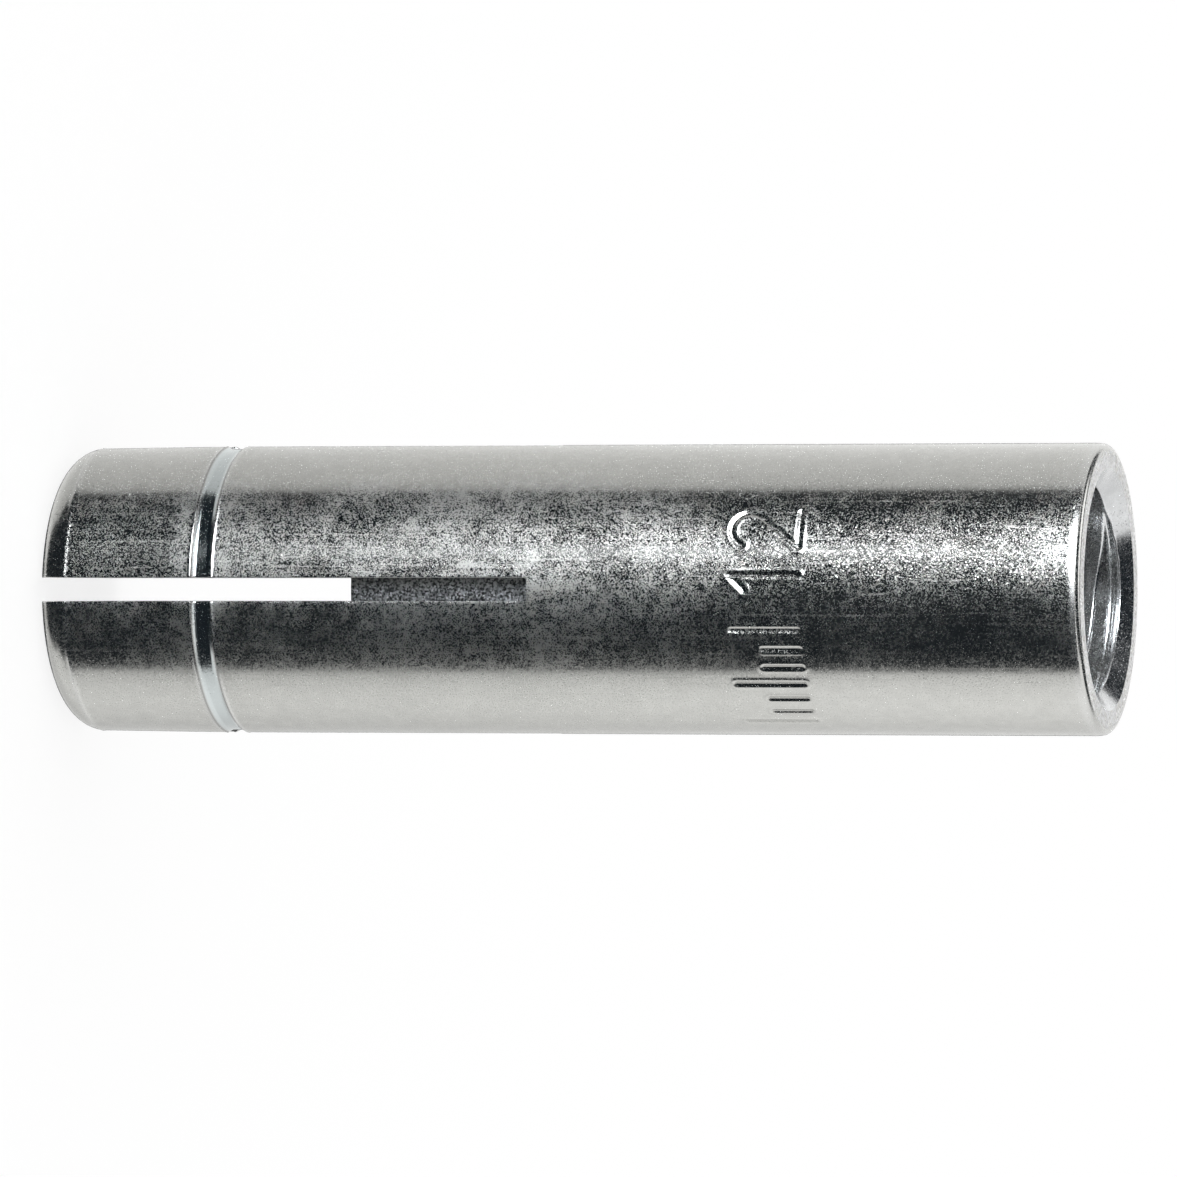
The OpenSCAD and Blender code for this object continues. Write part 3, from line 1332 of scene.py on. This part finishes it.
@dataclass
class Studio:
    """A white floor and a reflection tent with a dark front, dark patches and a lamp card.

    Attributes:
        floor_half: Half the floor's width, in metres.
        floor_white: How much of the floor's white is its own colour under the tent's light.
        tent_radius: Radius of the tent, in metres.
        tent_z: Height of the tent's middle.
        tent_step: Angle between the tent's columns.
        soft: Angle over which the dark patches' edges fade.
        front_sides: Azimuths of the dark front's two sides.
        front_ends: Elevations of its lower and upper end.
        spots: Dark patches below the front, on the roof and above the front.
        gap: The bright gap in the roof patch.
        gap_fade: Angle over which its edge fades.
        gap_level: Brightness of the gap.
        back_half: Half the width of the dark strip low down behind.
        back_rise: Elevations over which that strip sets in.
        back_fall: Elevations over which it ends.
        gloom: Brightness of the dark patches.
        white_ends: Brightness of the white low down and higher up.
        white_rise: Elevations over which it passes from the one to the other.
        white_from: Azimuth on the -X side from which the white is at its full brightness.
        white_bend: Power of the white's rise towards there.
        dim_above: How much dimmer the white is next to the front's -X side.
        above_rise: Azimuths over which that sets in.
        dim_below: How much dimmer the white is towards the back on the +X side, by the azimuth.
        dim_beside: How much dimmer the white is next to the front's +X side.
        beside_w: Angle over which that fades.
        lamp_at: Azimuth of the lamp card.
        lamp_half: Half its width.
        lamp_ends: Elevations at which it starts to brighten, and of its upper edge.
        lamp_fade: Angle over which its sides fade.
        lamp_rise: Angle over which it brightens from its lower end.
        lamp_level: Brightness of the card.
        lamp_tint: Colour of the card's light.
        skirt: Brightness of the card's weak skirt, by the azimuth.
        wing_at: Azimuth of the card's weak wings.
        wing_half: Half the width over them.
        wing_ends: Elevations over which the wings rise to their brightness.
        wing_level: Brightness of the wings.
        tail_half: Half the width of the weak streak below the card.
        tail_ends: Elevations over which the streak rises to its brightness.
        tail_fade: Elevations over which it fades again below the card.
        tail_level: Brightness of the streak.
    """

    floor_half: float = 2.0
    floor_white: float = 0.15
    tent_radius: float = 0.35
    tent_z: float = 21.8
    tent_step: float = 1.0
    soft: float = 2.5
    front_sides: Span = (-67.5, 86.0)
    front_ends: Span = (-62.0, 33.0)
    spots: tuple[Spot, ...] = (Spot(11.5, -75.0, 32.0), Spot(155.0, 64.0, 40.6), Spot(0.0, 75.0, 33.0))
    gap: Spot = Spot(156.0, 60.0, 18.0)
    gap_fade: float = 7.0
    gap_level: float = 1.7
    back_half: float = 12.0
    back_rise: Span = (-70.0, -50.0)
    back_fall: Span = (-6.0, 0.0)
    gloom: Colour = (0.014, 0.018, 0.022)
    white_ends: Span = (0.93, 1.075)
    white_rise: Span = (-20.0, -10.0)
    white_from: float = 160.0
    white_bend: float = 1.4
    dim_above: float = 0.36
    above_rise: Span = (20.0, 70.0)
    dim_below: Swell = Swell(0.25, -145.0, 25.0)
    dim_beside: float = 0.18
    beside_w: float = 18.0
    lamp_at: float = 30.5
    lamp_half: float = 16.0
    lamp_ends: Span = (-3.5, 25.0)
    lamp_fade: float = 6.0
    lamp_rise: float = 13.5
    lamp_level: float = 26.8
    lamp_tint: Colour = (0.965, 0.995, 1.03)
    skirt: Swell = Swell(0.2, -8.0, 26.0)
    wing_at: float = 28.0
    wing_half: float = 36.0
    wing_ends: Span = (1.0, 7.0)
    wing_level: float = 1.0
    tail_half: float = 4.0
    tail_ends: Span = (-21.0, -14.5)
    tail_fade: Span = (-13.0, -8.5)
    tail_level: float = 0.85

    def white(self, azimuth: np.ndarray, elevation: np.ndarray) -> np.ndarray:
        """Works out how bright the tent's white is.

        Args:
            azimuth: Azimuths, from the front towards -X.
            elevation: Elevations above the horizontal.

        Returns:
            One brightness for each direction.
        """
        side = self.front_sides[1]
        behind = np.clip((azimuth - side) / (self.white_from - side), 0.0, 1.0) ** self.white_bend
        above = self.dim_above * smooth_step(*self.above_rise, azimuth) * (1.0 - behind)
        beside = self.dim_beside * bell(azimuth, self.front_sides[0], self.beside_w)
        low, high = self.white_ends
        level = low + (high - low) * smooth_step(*self.white_rise, elevation)
        return level * (1.0 - above - self.dim_below.at(azimuth) - beside)

    def dark(self, azimuth: np.ndarray, elevation: np.ndarray) -> np.ndarray:
        """Works out where the tent is dark.

        Args:
            azimuth: Azimuths, from the front towards -X.
            elevation: Elevations above the horizontal.

        Returns:
            Shares of darkness, from 0 to 1.
        """
        front = np.ones_like(azimuth)
        for (low, high), angle in ((self.front_sides, azimuth), (self.front_ends, elevation)):
            front *= past(low, self.soft, angle) * within(high, self.soft, angle)
        back = within(self.back_half, self.soft, np.abs(np.abs(azimuth) - HALF_TURN))
        back *= smooth_step(*self.back_rise, elevation) * (1.0 - smooth_step(*self.back_fall, elevation))
        spots = [spot.cover(azimuth, elevation, self.soft) for spot in self.spots]
        return np.max([front, back, *spots], axis=0)

    def lamp(self, azimuth: np.ndarray, elevation: np.ndarray) -> np.ndarray:
        """Works out the lamp card's brightness, with its skirt, its wings and the streak below it.

        Args:
            azimuth: Azimuths, from the front towards -X.
            elevation: Elevations above the horizontal.

        Returns:
            One brightness for each direction.
        """
        aside = np.abs(azimuth - self.lamp_at)
        low, high = self.lamp_ends
        up = smooth_step(low, low + self.lamp_rise, elevation)
        down = within(high, self.lamp_fade, elevation)
        card = self.lamp_level * within(self.lamp_half, self.lamp_fade, aside) + self.skirt.at(azimuth)
        wings = self.wing_level * within(self.wing_half, self.lamp_fade, np.abs(azimuth - self.wing_at))
        wings *= smooth_step(*self.wing_ends, elevation)
        tail = self.tail_level * bell(aside, 0.0, self.tail_half) * smooth_step(*self.tail_ends, elevation)
        tail *= 1.0 - np.maximum(up, smooth_step(*self.tail_fade, elevation))
        return (card * up + wings) * down + tail

    def glow(self, azimuth: np.ndarray, elevation: np.ndarray) -> np.ndarray:
        """Works out the tent's brightness in every direction.

        Args:
            azimuth: Azimuths, from the front towards -X.
            elevation: Elevations above the horizontal.

        Returns:
            Rows of red, green and blue.
        """
        dark = self.dark(azimuth, elevation)[:, None]
        bright = self.white(azimuth, elevation)[:, None]
        gap = self.gap_level * self.gap.cover(azimuth, elevation, self.gap_fade)
        lamp = self.lamp(azimuth, elevation)[:, None] * np.array(self.lamp_tint)
        return (1.0 - dark) * bright + dark * np.array(self.gloom) + lamp + gap[:, None]

    def tent(self) -> bpy.types.Object:
        """Makes the tent, which only reflections see.

        Returns:
            The tent object.
        """
        azimuth = np.arange(-HALF_TURN, HALF_TURN, self.tent_step)
        elevation = np.arange(-QUARTER + self.tent_step / 2, QUARTER, self.tent_step)
        around, up = np.meshgrid(azimuth, elevation)
        across, lift = np.cos(np.radians(up)), np.sin(np.radians(up))
        points = around_axis(across, around, lift).reshape(-1, 3) * self.tent_radius
        points[:, 2] += self.tent_z * MM
        grid = np.arange(len(points)).reshape(around.shape)
        ring = np.concatenate([grid, grid[:, :1]], axis=1)
        quads = np.stack([ring[:-1, :-1], ring[:-1, 1:], ring[1:, 1:], ring[1:, :-1]], axis=-1)
        mesh = bpy.data.meshes.new("reflection_tent")
        mesh.from_pydata(points.tolist(), [], quads.reshape(-1, 4).tolist())
        glow = self.glow(around.ravel(), up.ravel())
        paint = mesh.attributes.new("glow", "FLOAT_COLOR", "POINT")
        paint.data.foreach_set("color", np.concatenate([glow, np.ones((len(glow), 1))], axis=1).ravel())
        board = ShaderBoard("tent_glow")
        colour = board.node("ShaderNodeAttribute", {}, attribute_name="glow").outputs["Color"]
        light = board.node("ShaderNodeEmission", {"Color": colour, "Strength": 1.0}).outputs[0]
        material = board.finish(light)
        material.cycles.emission_sampling = "NONE"
        mesh.materials.append(material)
        tent = add_object("reflection_tent", mesh)
        for kind in ("camera", "diffuse", "transmission", "volume_scatter", "shadow"):
            setattr(tent, f"visible_{kind}", False)
        return tent

    def floor(self) -> bpy.types.Object:
        """Makes the pale floor, which shows white and keeps the anchor's soft shadow.

        Returns:
            The floor object.
        """
        half = self.floor_half
        mesh = bpy.data.meshes.new("floor")
        corners = [(-half, -half, 0.0), (half, -half, 0.0), (half, half, 0.0), (-half, half, 0.0)]
        mesh.from_pydata(corners, [], [(0, 1, 2, 3)])
        board = ShaderBoard("white_floor")
        white = (self.floor_white, self.floor_white, self.floor_white, 1.0)
        paper = board.node("ShaderNodeBsdfDiffuse", {"Color": white}).outputs[0]
        seen = board.node("ShaderNodeLightPath", {}).outputs["Is Camera Ray"]
        lift = board.sum("MULTIPLY", seen, 1.0 - self.floor_white)
        lit = board.node("ShaderNodeEmission", {"Strength": lift}).outputs[0]
        mesh.materials.append(board.finish(board.node("ShaderNodeAddShader", {0: paper, 1: lit}).outputs[0]))
        floor = add_object("floor", mesh)
        floor.visible_glossy = False
        return floor

    def world(self) -> None:
        """Surrounds everything with plain white light."""
        world = bpy.data.worlds.new("white_world")
        world.use_nodes = True
        background = world.node_tree.nodes["Background"]
        background.inputs["Color"].default_value = (1.0, 1.0, 1.0, 1.0)
        background.inputs["Strength"].default_value = 1.0
        world.cycles.sampling_method = "NONE"
        bpy.context.scene.world = world

    def build(self) -> None:
        """Sets up the light, the floor and the colours' plain transform."""
        self.world()
        self.floor()
        self.tent()
        bpy.context.scene.view_settings.view_transform = "Standard"


PLATING = GrainyMetal(name="zinc_plating", colour=(0.59, 0.59, 0.565))
# Painted light: the mouth's flat ring carries the same plating, given a much lighter colour so that it shows
# brighter
PLATED_FACE_PAINTED_LIGHT = GrainyMetal(
    name="zinc_plated_face",
    colour=(0.95, 0.94, 0.9),
    shine=0.25,
    dullness=0.5,
    cover=0.9,
    scatter=0.4,
    grain=0.07,
    wave=0.035,
    wave_size=0.2,
    mottle=0.15,
    blotch=0.25,
    fleck=0.2,
)
# Painted shade: the slits' sawn sides carry the same plating, given a darker colour for the light that
# reaches them less
PLATED_CUT_PAINTED_SHADE = GrainyMetal(
    name="zinc_plated_cut",
    colour=(0.36, 0.37, 0.38),
    shine=0.3,
    dullness=0.5,
    ring_pitch=0.3,
    ring_depth=0.006,
)
# Painted light: the bore carries the same plating, given a lighter colour so that its thread shows brighter
PLATED_BORE_PAINTED_LIGHT = GrainyMetal(
    name="zinc_plated_bore",
    colour=(0.72, 0.73, 0.735),
    dullness=0.35,
    cover=0.3,
)
PLUG_STEEL = GrainyMetal(
    name="turned_plug_steel",
    colour=(0.42, 0.43, 0.445),
    metallic=0.6,
    shine=0.3,
    dullness=0.6,
    cover=0.8,
    scatter=0.5,
    mottle=0.4,
    blotch=0.2,
    fleck=0.8,
    grain=0.07,
    ring_pitch=0.16,
    ring_depth=0.004,
)


def main() -> None:
    """Builds the camera, the studio and both pieces, and reports each piece."""
    logging.basicConfig(level=logging.INFO, format="%(message)s")
    Camera().build()
    Studio().build()
    skins = [finish.material() for finish in (PLATING, PLATED_FACE_PAINTED_LIGHT, PLATED_CUT_PAINTED_SHADE, PLATED_BORE_PAINTED_LIGHT)]
    pieces = [
        Sleeve.from_frame().build(skins),
        ExpanderPlug.from_frame().build(PLUG_STEEL.material()),
    ]
    for piece in pieces:
        LOG.info("%s: %d faces", piece.name, len(piece.data.polygons))


if __name__ == "__main__":
    main()
